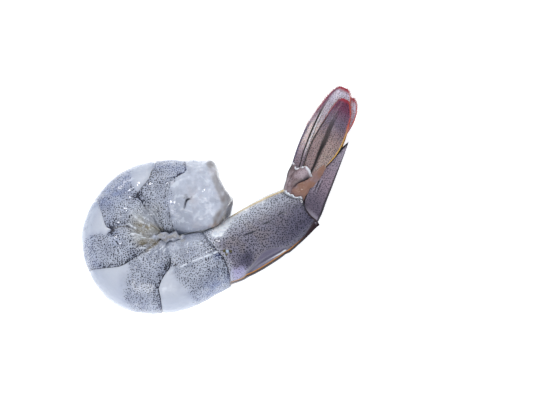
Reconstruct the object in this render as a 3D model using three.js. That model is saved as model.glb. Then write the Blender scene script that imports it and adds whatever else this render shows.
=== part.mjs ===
// A raw tiger prawn without its head, peeled down to its last segment, curled up on its left side.
// Millimetres, +Z up. It lies on the plane z = 0 with its right side up; the neck and the tail
// point to +X. The origin is in the middle of its footprint.
import * as THREE from 'three';

// ---- Driving dimensions ---------------------------------------------------------------------

// The body's centre line, in plan: from the cut neck towards -X, a left turn round the curl, and
// then straight along the last segment. Places on it are arc lengths from NECK_POINT.
const NECK_POINT = { x: 14.4, y: 10.7 };
const NECK_HEADING = 179.5; // degrees from +X
const CURL_RADIUS = 10.7;
const CURL_START = 15.5;
const CURL_END = 54.8;
const CURL_START_EASING = 4; // lengths over which the turn sets in and fades
const CURL_END_EASING = 6;
const LINE_START = -4;
const LINE_END = 94;
const LINE_STEP = 0.1;

// Cross sections along the centre line: place, depth to the back, depth to the belly, half width,
// height of the centre line over the table, and degrees that the back is rolled upwards.
const SECTIONS = [
  [-2, 8.7, 6.4, 7.4, 8.2, 0], // cut neck
  [4, 9.0, 8.6, 8.0, 8.1, 0],
  [10, 9.0, 10.0, 8.3, 8.0, 0],
  [16, 8.9, 10.2, 8.4, 7.9, 0], // first segment
  [24, 9.0, 10.35, 8.5, 7.8, -4], // second
  [33, 9.7, 10.35, 8.5, 7.8, -8], // third
  [42, 9.8, 10.35, 8.1, 7.6, -3], // fourth
  [50, 8.6, 10.3, 7.6, 7.3, 2],
  [58, 8.2, 9.3, 7.0, 7.0, 4], // fifth
  [66, 8.2, 7.4, 6.4, 6.8, 5],
  [74, 8.4, 7.8, 6.0, 6.7, 6], // sixth
  [82, 7.6, 8.0, 5.3, 6.8, 7],
  [90, 5.2, 6.6, 4.6, 7.0, 8], // root of the tail fan
];
const ROUNDNESS = 2.15; // exponent of the section's superellipse

// Edges between the rings of flesh: place at the hinge on the flank, how much nearer the neck the
// edge lies on the back, and the angles from the back between which it swings forward.
const EDGES = [
  { hinge: -1.1, lead: -4.7, from: 0, to: 180 }, // cut of the neck
  { hinge: 15.6, lead: 4.6, from: 58, to: 88 }, // front of the first segment
  { hinge: 23.1, lead: 5.6, from: 50, to: 95 }, // first and second segment
  { hinge: 33.2, lead: 5.8, from: 25, to: 85 },
  { hinge: 40.6, lead: 3.4, from: 10, to: 85 },
  { hinge: 50.5, lead: 1.8, from: 60, to: 100 },
  { hinge: 63.4, lead: 0.9, from: 10, to: 60 }, // fifth and sixth
];
const GROOVE_DEPTH = 0.45; // at each edge
const GROOVE_WIDTH = 0.06; // as a share of a segment's length
const BELLY_GROOVE = 0.3; // how much of its depth a groove keeps on the belly
const RING_BULGE = 0.3;
const NECK_LUMP = 0.35; // relief of the torn meat in front of the first segment
const NECK_GAP = 0.35; // between the neck and the last segments' belly, which it leans on

// The sixth segment's shell, and the keel along its back.
const SHELL_GAP = 0.35; // between the fifth segment's flesh and the shell
const KEEL_HEIGHT = 0.7;
const KEEL_WIDTH = 8; // degrees
const RIM_PLACE = 87.6;
const RIM_SLOPE = 0.41; // how much further the shell reaches on its back, over its depth

// The tail fan's own frame: forward is where it points, back is its dorsal side, side its right.
const FAN_ROOT = { x: 33.0, y: 7.6, z: 6.9 };
const FAN_HEADING = 63; // degrees from +X
const FAN_RISE = 2;
const FAN_ROLL = 20;
const JOINT_GAP = 0.3;

const TELSON = { length: 20.2, halfWidth: 3.7, height: 2.5, back: 2.6, muscle: 4.2, muscleEnd: 8 };
const PROTOPOD = { length: 8.9, depth: 3.0, halfWidth: 1.7, rootSide: 2.7, side: 4.0, back: -2.8 };
// Blades: where they start along the fan, their size, and their outline as shares of it.
const ENDOPOD = { start: 9.2, length: 20.9, width: 7.4, root: 0.55, tip: 0.55, drift: 0.06 };
const EXOPOD = { start: 9.2, length: 24.2, width: 7.6, root: 0.46, tip: 0.62, drift: 0.1 };
// How they hang: the place of the inner edge and the angle that they hang down from the side.
const HANGING = [
  { name: 'endopod_right', shape: ENDOPOD, hand: 1, side: 3.1, back: 2.3, swing: 74 },
  { name: 'exopod_right', shape: EXOPOD, hand: 1, side: 2.2, back: -1.1, swing: 78 },
  { name: 'endopod_left', shape: ENDOPOD, hand: -1, side: 3.9, back: -0.2, swing: 94 },
  { name: 'exopod_left', shape: EXOPOD, hand: -1, side: 2.8, back: -0.5, swing: 96 },
];
const MUSCLE_NARROWING = 0.45;
const BLADE_THICKNESS = 0.6;
const BLADE_EDGE = 0.24;
const BLADE_CUP = 0.5; // depth of a blade's hollow face

// The middle of the footprint, in the centre line's plan.
const MIDDLE = { x: 12.66, y: 10.17 };

// ---- Colours and finishes ---------------------------------------------------------------------

const FLESH = { name: 'raw_flesh', color: 0xb7bcc9, roughness: 0.22, metalness: 0 };
const SHELL = { name: 'tail_shell', color: 0x8d8796, roughness: 0.25, metalness: 0 };
const BLADE = { name: 'fan_blade', color: 0x7c6570, roughness: 0.3, metalness: 0 };

// ---- Small helpers ------------------------------------------------------------------------------

const radians = THREE.MathUtils.degToRad;
const lerp = THREE.MathUtils.lerp;
const ease = (x) => THREE.MathUtils.smoothstep(x, 0, 1);
const bell = (x, width) => Math.exp(-((x / width) ** 2));

// A closed skin through rows of points: each row is a loop, and each end is closed by a fan of
// triangles round its middle. point(row, column) gives a Vector3.
function closedSkin(rows, columns, point) {
  const positions = [];
  const indices = [];
  const loops = [];
  for (let row = 0; row < rows; row += 1) {
    const loop = [];
    for (let column = 0; column < columns; column += 1) {
      const p = point(row, column);
      loop.push(p);
      positions.push(p.x, p.y, p.z);
    }
    loops.push(loop);
  }
  const at = (row, column) => row * columns + (column % columns);
  for (let row = 0; row + 1 < rows; row += 1) {
    for (let column = 0; column < columns; column += 1) {
      indices.push(at(row, column), at(row, column + 1), at(row + 1, column));
      indices.push(at(row + 1, column), at(row, column + 1), at(row + 1, column + 1));
    }
  }
  for (const [row, forward] of [[0, false], [rows - 1, true]]) {
    const middle = new THREE.Vector3();
    loops[row].forEach((p) => middle.addScaledVector(p, 1 / columns));
    const apex = positions.length / 3;
    positions.push(middle.x, middle.y, middle.z);
    for (let column = 0; column < columns; column += 1) {
      const edge = [at(row, column), at(row, column + 1)];
      if (!forward) edge.reverse();
      indices.push(edge[0], edge[1], apex);
    }
  }
  const geometry = new THREE.BufferGeometry();
  geometry.setAttribute('position', new THREE.Float32BufferAttribute(positions, 3));
  geometry.setIndex(indices);
  return facingOut(geometry);
}

// Turns the faces round where the skin's volume comes out negative.
function facingOut(geometry) {
  const index = geometry.index;
  const position = geometry.attributes.position;
  const [a, b, c] = [new THREE.Vector3(), new THREE.Vector3(), new THREE.Vector3()];
  let volume = 0;
  for (let i = 0; i < index.count; i += 3) {
    a.fromBufferAttribute(position, index.getX(i));
    b.fromBufferAttribute(position, index.getX(i + 1));
    c.fromBufferAttribute(position, index.getX(i + 2));
    volume += a.dot(b.cross(c)) / 6;
  }
  if (volume < 0) {
    for (let i = 0; i < index.count; i += 3) {
      const second = index.getX(i + 1);
      index.setX(i + 1, index.getX(i + 2));
      index.setX(i + 2, second);
    }
  }
  geometry.computeVertexNormals();
  return geometry;
}

function piece(name, finish, geometry) {
  const mesh = new THREE.Mesh(geometry, new THREE.MeshStandardMaterial(finish));
  mesh.name = name;
  return mesh;
}

// ---- The body's centre line and cross sections ----------------------------------------------------

const linePoints = [];
{
  const start = radians(NECK_HEADING);
  let heading = start;
  let x = NECK_POINT.x + LINE_START * Math.cos(start);
  let y = NECK_POINT.y + LINE_START * Math.sin(start);
  for (let place = LINE_START; place <= LINE_END; place += LINE_STEP) {
    linePoints.push([x, y, heading]);
    const middle = place + LINE_STEP / 2;
    const turnIn = ease((middle - CURL_START) / CURL_START_EASING + 0.5);
    const turnOut = ease((middle - CURL_END) / CURL_END_EASING + 0.5);
    const turn = (LINE_STEP * (turnIn - turnOut)) / CURL_RADIUS;
    x += LINE_STEP * Math.cos(heading + turn / 2);
    y += LINE_STEP * Math.sin(heading + turn / 2);
    heading += turn;
  }
}

const sectionCurve = new THREE.CubicInterpolant(
  SECTIONS.map((section) => section[0]),
  SECTIONS.flatMap((section) => section.slice(1)),
  5,
);

// The section at a place: its centre, its own three directions and its sizes.
function sectionAt(place) {
  const step = THREE.MathUtils.clamp((place - LINE_START) / LINE_STEP, 0, linePoints.length - 1.001);
  const [before, after] = [linePoints[Math.floor(step)], linePoints[Math.floor(step) + 1]];
  const [x, y, heading] = before.map((value, i) => lerp(value, after[i], step % 1));
  const [back, belly, half, height, roll] = sectionCurve.evaluate(place);
  const out = new THREE.Vector3(Math.sin(heading), -Math.cos(heading), 0);
  const up = new THREE.Vector3(0, 0, 1);
  const tilt = radians(roll);
  return {
    centre: new THREE.Vector3(x, y, height),
    along: new THREE.Vector3(Math.cos(heading), Math.sin(heading), 0),
    back: out.clone().multiplyScalar(Math.cos(tilt)).addScaledVector(up, Math.sin(tilt)),
    side: up.clone().multiplyScalar(Math.cos(tilt)).addScaledVector(out, -Math.sin(tilt)),
    sizes: { back, belly, half },
  };
}

// Distances from the section's centre, towards the back and the right side, at an angle from the
// back.
function outline(sizes, angle) {
  const depth = Math.cos(angle) > 0 ? sizes.back : sizes.belly;
  const [c, s] = [Math.abs(Math.cos(angle) / depth), Math.abs(Math.sin(angle) / sizes.half)];
  const radius = (c ** ROUNDNESS + s ** ROUNDNESS) ** (-1 / ROUNDNESS);
  return [radius * Math.cos(angle), radius * Math.sin(angle)];
}

// A point of the skin; relief is added along the radius, and the table flattens what it touches.
function skinPoint(place, angle, relief, scale = 1) {
  const section = sectionAt(place);
  const [toBack, toSide] = outline(section.sizes, angle);
  const grow = scale * (1 + relief / Math.hypot(toBack, toSide));
  const p = section.centre.clone()
    .addScaledVector(section.back, toBack * grow)
    .addScaledVector(section.side, toSide * grow);
  p.z = Math.max(p.z, 0);
  return p;
}

// ---- Flesh of the neck and the first five segments, one piece ------------------------------------

function edgePlace(edge, angle) {
  const fromBack = THREE.MathUtils.radToDeg(Math.abs(angle));
  return edge.hinge - edge.lead * (1 - ease((fromBack - edge.from) / (edge.to - edge.from)));
}

// The neck leans on the belly of the last segments, where the centre line is straight again, and
// gives way to it.
const STRAIGHT_PLACE = CURL_END + CURL_END_EASING;
const straight = sectionAt(STRAIGHT_PLACE);
const towardsNeck = new THREE.Vector3(-straight.along.y, straight.along.x, 0);
function pressNeck(p) {
  const away = p.clone().sub(straight.centre);
  const other = sectionAt(STRAIGHT_PLACE + away.dot(straight.along));
  const level = Math.min(Math.abs(p.z - other.centre.z) / other.sizes.half, 1);
  const belly = other.sizes.belly * (1 - level ** ROUNDNESS) ** (1 / ROUNDNESS);
  const missing = belly + NECK_GAP - away.dot(towardsNeck);
  if (missing > 0) p.addScaledVector(towardsNeck, missing);
  return p;
}

function flesh() {
  const columns = 36;
  const shares = [0, 0.05, 0.13, 0.25, 0.4, 0.55, 0.7, 0.83, 0.92, 0.97];
  const rows = [];
  // The torn face of the neck: rings that grow from its middle to its rim.
  for (const [scale, bulge] of [[0.35, -1.1], [0.72, -0.8], [0.93, -0.3]]) {
    rows.push({ ring: 0, share: 0, scale, bulge });
  }
  for (let ring = 0; ring + 1 < EDGES.length; ring += 1) {
    shares.forEach((share) => rows.push({ ring, share, scale: 1, bulge: 0 }));
  }
  rows.push({ ring: EDGES.length - 2, share: 1, scale: 1, bulge: 0 });

  const point = (row, column) => {
    const { ring, share, scale, bulge } = rows[row];
    const turn = (column / columns) * 2 * Math.PI;
    const angle = turn > Math.PI ? turn - 2 * Math.PI : turn;
    const place = lerp(edgePlace(EDGES[ring], angle), edgePlace(EDGES[ring + 1], angle), share) + bulge;
    const isNeck = ring === 0;
    const groove = (isNeck ? 0 : bell(share, GROOVE_WIDTH)) + bell(1 - share, GROOVE_WIDTH);
    const onBack = lerp(BELLY_GROOVE, 1, (1 + Math.cos(angle)) / 2);
    const lump = NECK_LUMP * Math.sin(3 * angle + 1.3) * Math.sin(0.8 * place + 0.6) * (1 - share);
    const relief = (isNeck ? lump : RING_BULGE * Math.sin(Math.PI * share)) - GROOVE_DEPTH * groove * onBack;
    const p = skinPoint(place, angle, relief, scale);
    return isNeck ? pressNeck(p) : p;
  };
  return piece('flesh', FLESH, closedSkin(rows.length, columns, point));
}

// ---- Shell of the sixth segment --------------------------------------------------------------------

function rimPlace(angle) {
  const [toBack] = outline(sectionAt(RIM_PLACE).sizes, angle);
  return RIM_PLACE + RIM_SLOPE * toBack;
}

function tailSegment() {
  const columns = 36;
  const rows = 15;
  const front = EDGES[EDGES.length - 1];
  const point = (row, column) => {
    const turn = (column / columns) * 2 * Math.PI;
    const angle = turn > Math.PI ? turn - 2 * Math.PI : turn;
    const share = row / (rows - 1);
    const place = lerp(edgePlace(front, angle) + SHELL_GAP, rimPlace(angle), share);
    const keel = KEEL_HEIGHT * bell(THREE.MathUtils.radToDeg(angle), KEEL_WIDTH) * ease(share * 4);
    const waist = -0.25 * bell(share, 0.08);
    return skinPoint(place, angle, keel + waist);
  };
  return piece('tail_segment', SHELL, closedSkin(rows, columns, point));
}

// ---- Tail fan ------------------------------------------------------------------------------------

const fan = {};
{
  const [heading, rise, roll] = [FAN_HEADING, FAN_RISE, FAN_ROLL].map(radians);
  const level = Math.cos(rise);
  fan.root = new THREE.Vector3(FAN_ROOT.x, FAN_ROOT.y, FAN_ROOT.z);
  fan.forward = new THREE.Vector3(Math.cos(heading) * level, Math.sin(heading) * level, Math.sin(rise));
  const out = new THREE.Vector3(Math.sin(heading), -Math.cos(heading), 0);
  const up = new THREE.Vector3().crossVectors(out, fan.forward);
  fan.back = out.clone().multiplyScalar(Math.cos(roll)).addScaledVector(up, Math.sin(roll));
  fan.side = up.clone().multiplyScalar(Math.cos(roll)).addScaledVector(out, -Math.sin(roll));
}

function fanPoint(forward, side, back) {
  return fan.root.clone()
    .addScaledVector(fan.forward, forward)
    .addScaledVector(fan.side, side)
    .addScaledVector(fan.back, back);
}

// The plane of the shell's rear rim, and where a line along the fan meets it.
const rim = sectionAt(RIM_PLACE);
const rimNormal = rim.along.clone().addScaledVector(rim.back, -RIM_SLOPE).normalize();
function rimDistance(side, back) {
  const offset = rim.centre.clone().addScaledVector(rimNormal, JOINT_GAP).sub(fanPoint(0, side, back));
  return offset.dot(rimNormal) / fan.forward.dot(rimNormal);
}

// A tapering spike with a rounded back; its fleshy root fills the space under it.
function telson() {
  const columns = 20;
  const rows = 13;
  const point = (row, column) => {
    const share = row / (rows - 1);
    const angle = (column / columns) * 2 * Math.PI;
    const taper = Math.max(1 - share, 0.02) ** 0.7;
    const muscle = TELSON.muscle * (1 - ease((share * TELSON.length) / TELSON.muscleEnd));
    const below = Math.max(TELSON.height * 0.35 * taper, muscle);
    const lift = Math.cos(angle);
    const back = TELSON.back + lift * (lift > 0 ? TELSON.height * taper : below);
    const narrow = lift < 0 ? 1 + MUSCLE_NARROWING * lift : 1;
    const side = TELSON.halfWidth * taper * Math.sin(angle) * narrow;
    return fanPoint(lerp(rimDistance(side, back), TELSON.length - 0.6, share), side, back);
  };
  return piece('telson', SHELL, closedSkin(rows, columns, point));
}

// The limb that carries two blades; hand is 1 on the right and -1 on the left.
function protopod(hand) {
  const columns = 16;
  const rows = 8;
  const point = (row, column) => {
    const share = row / (rows - 1);
    const angle = (column / columns) * 2 * Math.PI;
    const swell = lerp(0.8, 1, Math.sin(Math.PI * Math.min(share * 1.15, 1) * 0.5)) * (share > 0.99 ? 0.86 : 1);
    const side = hand * (lerp(PROTOPOD.rootSide, PROTOPOD.side, share) + PROTOPOD.halfWidth * swell * Math.sin(angle));
    const back = PROTOPOD.back + PROTOPOD.depth * swell * Math.cos(angle);
    return fanPoint(lerp(rimDistance(side, back), PROTOPOD.length, share), side, back);
  };
  return piece(hand > 0 ? 'protopod_right' : 'protopod_left', SHELL, closedSkin(rows, columns, point));
}

// A thin blade, a little hollow on its belly side; its section is a lens with a blunt edge.
function blade({ name, shape, hand, side, back, swing }) {
  const faceColumns = 7;
  const columns = 2 * faceColumns;
  const rows = 17;
  const [across, down] = [Math.cos(radians(swing)), Math.sin(radians(swing))];
  const point = (row, column) => {
    const share = (row / (rows - 1)) * 0.985;
    const opening = Math.sin(Math.min(share / shape.tip, 1) * (Math.PI / 2));
    const closing = Math.sqrt(1 - Math.max((share - shape.tip) / (1 - shape.tip), 0) ** 2.3);
    const half = 0.5 * shape.width * lerp(shape.root, 1, opening) * closing;
    const onTop = column < faceColumns;
    const step = onTop ? column : columns - 1 - column;
    const spread = -Math.cos((step / (faceColumns - 1)) * Math.PI);
    const chord = shape.width * (0.5 - shape.drift * share ** 2) + half * spread;
    const thick = lerp(BLADE_THICKNESS, BLADE_EDGE, spread ** 2) / 2;
    const rise = BLADE_CUP * (1 - spread ** 2) * Math.min(opening, closing) + (onTop ? thick : -thick);
    return fanPoint(
      shape.start + share * shape.length,
      hand * (side + across * chord + down * rise),
      back - down * chord + across * rise,
    );
  };
  return piece(name, BLADE, closedSkin(rows, columns, point));
}

// ---- Assembly ------------------------------------------------------------------------------------

const prawn = new THREE.Group();
prawn.name = 'tiger_prawn';
prawn.add(flesh(), tailSegment(), telson());
prawn.add(protopod(1), protopod(-1));
HANGING.forEach((hanging) => prawn.add(blade(hanging)));
prawn.position.set(-MIDDLE.x, -MIDDLE.y, 0);

export default prawn;
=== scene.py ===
import math
import random

import bmesh
import bpy
from mathutils import Matrix, Vector, noise


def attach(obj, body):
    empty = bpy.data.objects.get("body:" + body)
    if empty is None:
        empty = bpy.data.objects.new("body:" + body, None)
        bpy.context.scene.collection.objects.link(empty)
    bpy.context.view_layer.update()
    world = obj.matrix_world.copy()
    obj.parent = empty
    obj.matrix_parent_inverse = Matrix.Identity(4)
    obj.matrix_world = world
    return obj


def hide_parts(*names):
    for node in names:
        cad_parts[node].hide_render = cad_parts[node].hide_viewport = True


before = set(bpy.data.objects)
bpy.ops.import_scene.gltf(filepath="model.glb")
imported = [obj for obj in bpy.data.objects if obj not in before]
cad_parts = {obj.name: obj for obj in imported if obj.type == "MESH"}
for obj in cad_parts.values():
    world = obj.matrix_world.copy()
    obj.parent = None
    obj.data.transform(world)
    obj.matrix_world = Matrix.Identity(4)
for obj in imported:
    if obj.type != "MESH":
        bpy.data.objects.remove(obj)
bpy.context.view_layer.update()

# ---- View, light and table -----------------------------------------------------------------------
# A raw tiger prawn, peeled down to its last segment, lies curled up on a white table. A long lens
# looks down on its right side, in a white light tent with softboxes behind and above it.

VIEW_CENTRE = Vector((0.01146, -0.00057, 0.0078))
VIEW_ELEVATION = math.radians(72)
VIEW_DISTANCE = 0.74
VIEW_LENS = 200

lens = bpy.data.cameras.new("view")
lens.lens = VIEW_LENS
lens.clip_end = 10
view = bpy.data.objects.new("view", lens)
view.location = VIEW_CENTRE + VIEW_DISTANCE * Vector((0, -math.cos(VIEW_ELEVATION), math.sin(VIEW_ELEVATION)))
view.rotation_euler = (math.pi / 2 - VIEW_ELEVATION, 0, 0)
bpy.context.scene.collection.objects.link(view)
bpy.context.scene.camera = view
bpy.context.scene.view_settings.view_transform = "Standard"

TENT_COLOUR = (0.94, 0.97, 1.0, 1)
TENT_STRENGTH = 0.6
tent = bpy.data.worlds.new("light_tent")
tent.use_nodes = True
tent_light = tent.node_tree.nodes["Background"].inputs
tent_light["Color"].default_value = TENT_COLOUR
tent_light["Strength"].default_value = TENT_STRENGTH
bpy.context.scene.world = tent


# Softboxes: azimuth from the viewer's side, elevation, size in metres, power in watts.
SOFTBOXES = {
    "back_softbox": (180, 42, 0.34, 0.42),
    "front_softbox": (350, 48, 0.3, 1.25),
    "low_softbox": (212, 20, 0.12, 0.28),
    "small_back_softbox": (205, 50, 0.06, 0.3),
    "small_left_softbox": (240, 70, 0.04, 0.12),
    "small_front_softbox": (320, 66, 0.03, 0.06),
    "small_top_softbox": (190, 68, 0.025, 0.07),
    "small_far_softbox": (165, 56, 0.025, 0.06),
}
LIGHT_DISTANCE = 0.6

for name, (azimuth, elevation, size, power) in SOFTBOXES.items():
    turn, rise = math.radians(azimuth), math.radians(elevation)
    level = math.cos(rise)
    direction = Vector((math.sin(turn) * level, -math.cos(turn) * level, math.sin(rise)))
    light = bpy.data.lights.new(name, "AREA")
    light.shape = "SQUARE"
    light.size = size
    light.energy = power
    lamp = bpy.data.objects.new(name, light)
    lamp.location = VIEW_CENTRE + direction * LIGHT_DISTANCE
    lamp.rotation_euler = direction.to_track_quat("Z", "Y").to_euler()
    bpy.context.scene.collection.objects.link(lamp)


def finished(name, sheet):
    """The object of a finished mesh, with smooth faces."""
    for face in sheet.faces:
        face.smooth = True
    mesh = bpy.data.meshes.new(name)
    sheet.to_mesh(mesh)
    sheet.free()
    made = bpy.data.objects.new(name, mesh)
    bpy.context.scene.collection.objects.link(made)
    return made


def paint(name, constants):
    """A new material and its shader node, with what is the same all over the surface."""
    made = bpy.data.materials.new(name)
    made.use_nodes = True
    shader = made.node_tree.nodes["Principled BSDF"]
    for socket, value in constants.items():
        shader.inputs[socket].default_value = value
    return made, shader


TABLE_SIZE = 2.0
table_paint, _ = paint("white_table", {
    "Base Color": (0.93, 0.94, 0.95, 1),
    "Roughness": 0.9,
    "Specular IOR Level": 0.1,
    "Emission Color": (0.93, 0.97, 1.0, 1),  # lit from below
    "Emission Strength": 0.55,
})
top = bmesh.new()
bmesh.ops.create_grid(top, x_segments=1, y_segments=1, size=TABLE_SIZE)
table = finished("table", top)
table.data.materials.append(table_paint)

# ---- Flesh ---------------------------------------------------------------------------------------
# The tail meat from the cut neck to the fifth segment, one piece: five rings of muscle that curl
# round their folded belly. A thin skin with dark pigment spots covers all but the torn neck, and
# each ring slides under the one in front of it, where its back is clear.

MM = 0.001
UP = Vector((0, 0, 1))
MIDDLE = Vector((12.66, 10.17, 0))  # of the footprint, in the plan of the body's centre line

# The centre line, in millimetres: from the neck a left turn round the curl, then straight on.
NECK_POINT = Vector((14.4, 10.7))
NECK_HEADING = 179.5
CURL_RADIUS = 10.7
CURL_START = 15.5
CURL_END = 54.8
CURL_START_EASING = 4
CURL_END_EASING = 6
LINE_START = -4
LINE_END = 94
LINE_STEP = 0.1

# Sections: place, depth to the back, to the belly, half width, height over the table, roll.
SECTIONS = [
    (-2, 8.7, 6.4, 7.4, 8.2, 0),
    (4, 9.0, 8.6, 8.0, 8.1, 0),
    (10, 9.0, 10.0, 8.3, 8.0, 0),
    (16, 8.9, 10.2, 8.4, 7.9, 0),
    (24, 9.0, 10.35, 8.5, 7.8, -4),
    (33, 9.7, 10.35, 8.5, 7.8, -8),
    (42, 9.8, 10.35, 8.1, 7.6, -3),
    (50, 8.1, 10.3, 7.6, 7.3, 2),
    (58, 7.75, 9.3, 7.0, 7.0, 4),
    (66, 8.1, 7.4, 6.4, 6.8, 5),
    (74, 8.15, 7.8, 6.0, 6.7, 6),
    (82, 7.1, 8.0, 5.3, 6.8, 7),
    (90, 4.9, 6.6, 4.6, 7.0, 8),
]
ROUNDNESS = 2.15

# Edges of the rings, from the neck's cut to the shell: (angle from the back, place), alike on both sides.
EDGES = [
    [(0, 4.8), (50, 4.2), (69, 3.6), (88, 2.7), (102, 1.8), (116, 1.4), (130, 1.5), (150, 2.6), (180, 3.2)],
    [(0, 11.0), (50, 10.5), (63, 10.7), (72, 12.6), (85, 15.2), (102, 15.2), (130, 14.3), (180, 12.6)],
    [(0, 17.1), (34, 17.1), (54, 17.8), (75, 19.2), (90, 22.1), (103, 23.0), (130, 23.6), (180, 24.6)],
    [
        (0, 27.2), (39, 27.8), (63, 30.0), (75, 32.2), (86, 32.6), (100, 32.3), (115, 32.6), (128, 34.3),
        (137, 36.6), (180, 38.4),
    ],
    [(0, 37.2), (21, 37.5), (48, 38.8), (72, 40.5), (97, 41.2), (126, 42.6), (180, 44.0)],
    [(0, 49.1), (39, 48.8), (58, 48.5), (80, 49.5), (94, 51.0), (108, 51.7), (180, 51.9)],
    [(0, 62.7), (12, 63.2), (35, 63.8), (67, 64.2), (80, 63.8), (110, 63.5), (180, 63.4)],
]
# The clear front of a ring's back: its length there, the angle where it ends, its roundness and softness.
CLEARS = [None, None, (3.6, 88, 8, 1.0), (6.2, 81, 2.4, 1.2), (7.0, 80, 1.3, 3.0), (4.1, 95, 3.5, 2.6)]
# The dark line at a ring's rear edge: the angle where it ends, and its strength.
RING_LINES = [None, (200, 0.75), (140, 0.7), (116, 0.9), (128, 0.8), (118, 0.7)]
RING_LINE_WIDTH = 0.26


def lerp(a, b, share):
    return a + (b - a) * share


def ease(x):
    x = min(max(x, 0), 1)
    return x * x * (3 - 2 * x)


def bell(x, width):
    return math.exp(-((x / width) ** 2))


def bumps(at, size):
    """Noise from about -1 to 1, in lumps of about that size in mm."""
    return noise.noise(at / size)


def spline(knots, x):
    """A smooth curve through knots (x, values...): its slope at each is the mean of those beside it."""
    last = len(knots) - 2
    i = 0
    while i < last and x > knots[i + 1][0]:
        i += 1
    span = knots[i + 1][0] - knots[i][0]
    t = min(max((x - knots[i][0]) / span, 0), 1)
    values = []
    for value in range(1, len(knots[0])):
        slopes = [
            (knots[k + 1][value] - knots[k][value]) / (knots[k + 1][0] - knots[k][0])
            for k in (max(i - 1, 0), i, min(i + 1, last))
        ]
        start, end = (slopes[0] + slopes[1]) / 2, (slopes[1] + slopes[2]) / 2
        a, b = knots[i][value], knots[i + 1][value]
        values.append(
            (2 * t**3 - 3 * t * t + 1) * a + (t**3 - 2 * t * t + t) * span * start
            + (3 * t * t - 2 * t**3) * b + (t**3 - t * t) * span * end
        )
    return values


def body_line():
    """Steps along the body: plan, heading, bend and the section's sizes."""
    heading = math.radians(NECK_HEADING)
    at = NECK_POINT + LINE_START * Vector((math.cos(heading), math.sin(heading)))
    steps = []
    for step in range(round((LINE_END - LINE_START) / LINE_STEP) + 1):
        place = LINE_START + step * LINE_STEP
        middle = place + LINE_STEP / 2
        bend_in = ease((middle - CURL_START) / CURL_START_EASING + 0.5)
        bend_out = ease((middle - CURL_END) / CURL_END_EASING + 0.5)
        bend = (bend_in - bend_out) / CURL_RADIUS
        steps.append([at.x, at.y, heading, bend, *spline(SECTIONS, place)])
        turn = LINE_STEP * bend
        at = at + LINE_STEP * Vector((math.cos(heading + turn / 2), math.sin(heading + turn / 2)))
        heading += turn
    return steps


body = body_line()


def section_at(place):
    """The section at a place: centre, directions to the back and the right side, sizes and bend."""
    at = min(max((place - LINE_START) / LINE_STEP, 0), len(body) - 1.001)
    before, after = body[int(at)], body[int(at) + 1]
    x, y, heading, bend, to_back, to_belly, half, height, roll = (
        lerp(a, b, at % 1) for a, b in zip(before, after)
    )
    out = Vector((math.sin(heading), -math.cos(heading), 0))
    tilt = math.radians(roll)
    back = out * math.cos(tilt) + UP * math.sin(tilt)
    side = UP * math.cos(tilt) - out * math.sin(tilt)
    return Vector((x, y, height)), back, side, (to_back, to_belly, half), bend


def outline(sizes, angle):
    """Distances to the back and to the right side, at an angle from the back."""
    depth = sizes[0] if math.cos(angle) > 0 else sizes[1]
    c, s = abs(math.cos(angle) / depth), abs(math.sin(angle) / sizes[2])
    radius = (c**ROUNDNESS + s**ROUNDNESS) ** (-1 / ROUNDNESS)
    return radius * math.cos(angle), radius * math.sin(angle)


def edge_place(edge, angle):
    return spline(EDGES[edge], abs(math.degrees(angle)))[0]


def skin_point(place, angle, relief, scale=1):
    """A point of the skin; the table flattens what it touches."""
    centre, back, side, sizes, _ = section_at(place)
    to_back, to_side = outline(sizes, angle)
    grow = scale * (1 + relief / math.hypot(to_back, to_side))
    point = centre + back * to_back * grow + side * to_side * grow
    point.z = max(point.z, 0)
    return point


def skin(name, rows, columns, shape, marks):
    """A closed tube of quads. shape(row, column) gives a point in mm and the values of its marks."""
    sheet = bmesh.new()
    layers = [sheet.verts.layers.float.new(mark) for mark in marks]
    bmesh.ops.create_grid(sheet, x_segments=columns, y_segments=rows - 1, size=1)
    seam = []
    for index, vert in enumerate(sheet.verts):
        row, column = divmod(index, columns + 1)
        point, values = shape(row, column % columns)
        vert.co = (point - MIDDLE) * MM
        for layer, value in zip(layers, values):
            vert[layer] = value
        if column in (0, columns) or row in (0, rows - 1):
            seam.append(vert)
    bmesh.ops.remove_doubles(sheet, verts=seam, dist=1e-7)
    bmesh.ops.recalc_face_normals(sheet, faces=sheet.faces)
    return finished(name, sheet)


def ahead_at(place):
    """The direction of the centre line at a place."""
    heading = body[round((place - LINE_START) / LINE_STEP)][2]
    return Vector((math.cos(heading), math.sin(heading), 0))


def column_angle(column, columns):
    """A column's angle from the back, from -pi to pi."""
    turn = column / columns * 2 * math.pi
    return turn - 2 * math.pi if turn > math.pi else turn


STRAIGHT_PLACE = CURL_END + CURL_END_EASING
straight_centre, _, _, _, _ = section_at(STRAIGHT_PLACE)
straight_along = ahead_at(STRAIGHT_PLACE)
towards_neck = Vector((-straight_along.y, straight_along.x, 0))
NECK_GAP = 0.3


def press_neck(point):
    """The neck gives way to the belly of the last segments, which it leans on."""
    away = point - straight_centre
    centre, _, _, sizes, _ = section_at(STRAIGHT_PLACE + away.dot(straight_along))
    level = min(abs(point.z - centre.z) / sizes[2], 1)
    belly = sizes[1] * (1 - level**ROUNDNESS) ** (1 / ROUNDNESS)
    missing = belly + NECK_GAP - away.dot(towards_neck)
    return point + towards_neck * max(missing, 0)


STEP_UNDER = 0.2  # depth of a ring's front under the one before it
STEP_LENGTH = 0.55
REAR_CREASE = 0.16
REAR_CREASE_LENGTH = 0.25
RING_BULGE = 0.24
BELLY_FOLD = 0.45
BELLY_FOLD_LENGTH = 0.5
WRINKLE_SPACING = 1.5
WRINKLE_DEPTH = 0.26
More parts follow.
